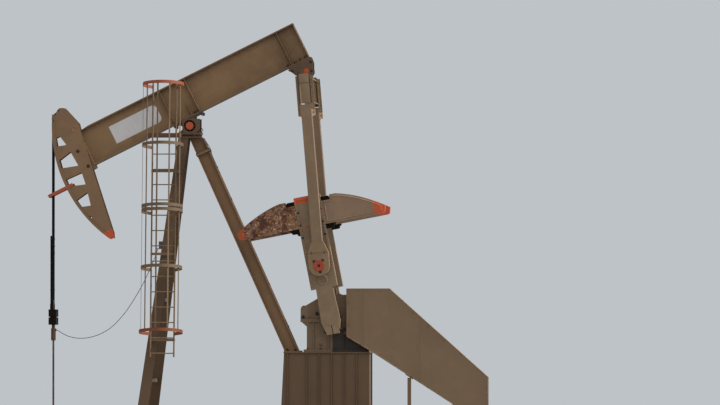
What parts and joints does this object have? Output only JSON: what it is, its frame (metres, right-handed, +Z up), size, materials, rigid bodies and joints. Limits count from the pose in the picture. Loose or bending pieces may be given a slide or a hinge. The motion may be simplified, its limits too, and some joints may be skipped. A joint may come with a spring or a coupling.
{
  "type": "pumpjack",
  "caption": "Beam pumping unit with walking beam, horsehead, twin cranks with counterweights, gear reducer, belt guard, motor, posts, caged ladder and steel skid.",
  "frame": {"origin": "ground level straight below the saddle bearing, on the underside of the skid's cross beam there, midway between the skid rails", "axes": "+X towards the motor end, +Y away from the ladder side, +Z up"},
  "size_m": [8.9803, 3.3964, 8.5873],
  "materials": {
    "tan_paint": "weathered tan enamel",
    "dark_paint": "dirty brown enamel",
    "cast_iron": "dull casting",
    "rusty_iron": "rusted tan paint over iron",
    "orange_paint": "safety orange enamel",
    "steel": "oiled steel",
    "galvanised": "dull grey",
    "wire_rope": "greased black",
    "rubber": "dusty black"
  },
  "bodies": {
    "root": {"skid_rails": "tan_paint", "skid_cross_beams": "tan_paint", "front_sill": "tan_paint", "riser": "tan_paint", "front_leg_near": "tan_paint", "front_leg_far": "tan_paint", "leg_braces": "tan_paint", "rear_leg": "tan_paint", "post_cap": "tan_paint", "centre_bearing": "tan_paint", "service_platform": "dark_paint", "ladder": "tan_paint", "cage_hoops": "tan_paint", "cage_straps": "tan_paint", "ladder_brackets": "tan_paint", "reducer_lower": "tan_paint", "reducer_cover": "tan_paint", "reducer_caps": "tan_paint", "fast_shaft": "steel", "big_sheave": "cast_iron", "brake_drum": "dark_paint", "belt_guard": "tan_paint", "guard_posts": "tan_paint", "drive_belts": "rubber", "motor": "dark_paint", "small_sheave": "cast_iron", "motor_stand": "tan_paint", "cable_box": "galvanised", "load_cell_cable": "rubber"},
    "beam": {"walking_beam": "tan_paint", "saddle": "tan_paint", "tail_bearing": "tan_paint", "head_plates": "tan_paint", "head_face": "tan_paint", "head_ties": "tan_paint", "wire_guard": "orange_paint", "wire_anchor": "dark_paint"},
    "pitmans": {"equalizer": "tan_paint", "tail_shaft": "orange_paint", "pitman_near": "tan_paint", "pitman_far": "tan_paint", "wrist_bearings": "tan_paint", "wrist_pins": "orange_paint"},
    "cranks": {"slow_shaft": "steel", "crank_near": "tan_paint", "crank_far": "tan_paint", "front_weights": "rusty_iron", "rear_weights": "tan_paint"},
    "carrier": {"bridle_wires": "wire_rope", "carrier_bar": "wire_rope", "rod_clamp": "rusty_iron", "polished_rod": "steel"}
  },
  "joints": [
    {"name": "crank_turn", "type": "hinge", "parent": "root", "child": "cranks", "pos_m": [2.85, 0, 2.684], "axis": [0, 1, 0], "range_deg": [0, 179.7]},
    {"name": "beam_rock", "type": "hinge", "parent": "root", "child": "beam", "pos_m": [0, 0, 6.55], "axis": [0, 1, 0], "range_deg": [0, 51.2]},
    {"name": "pitman_swing", "type": "hinge", "parent": "beam", "child": "pitmans", "pos_m": [2.32196, 0, 7.63677], "axis": [0, 1, 0], "range_deg": [-57.8, 0]},
    {"name": "carrier_lift", "type": "slide", "parent": "root", "child": "carrier", "axis": [0, 0, 1], "range_m": [0, 2.429], "deforming": ["bridle_wires"]}
  ],
  "couplings": [
    {"joint": "beam_rock", "follows": "crank_turn", "ratio": 0.28454},
    {"joint": "pitman_swing", "follows": "crank_turn", "ratio": -0.32117},
    {"joint": "carrier_lift", "follows": "crank_turn", "m_per_rad": 0.77395}
  ]
}
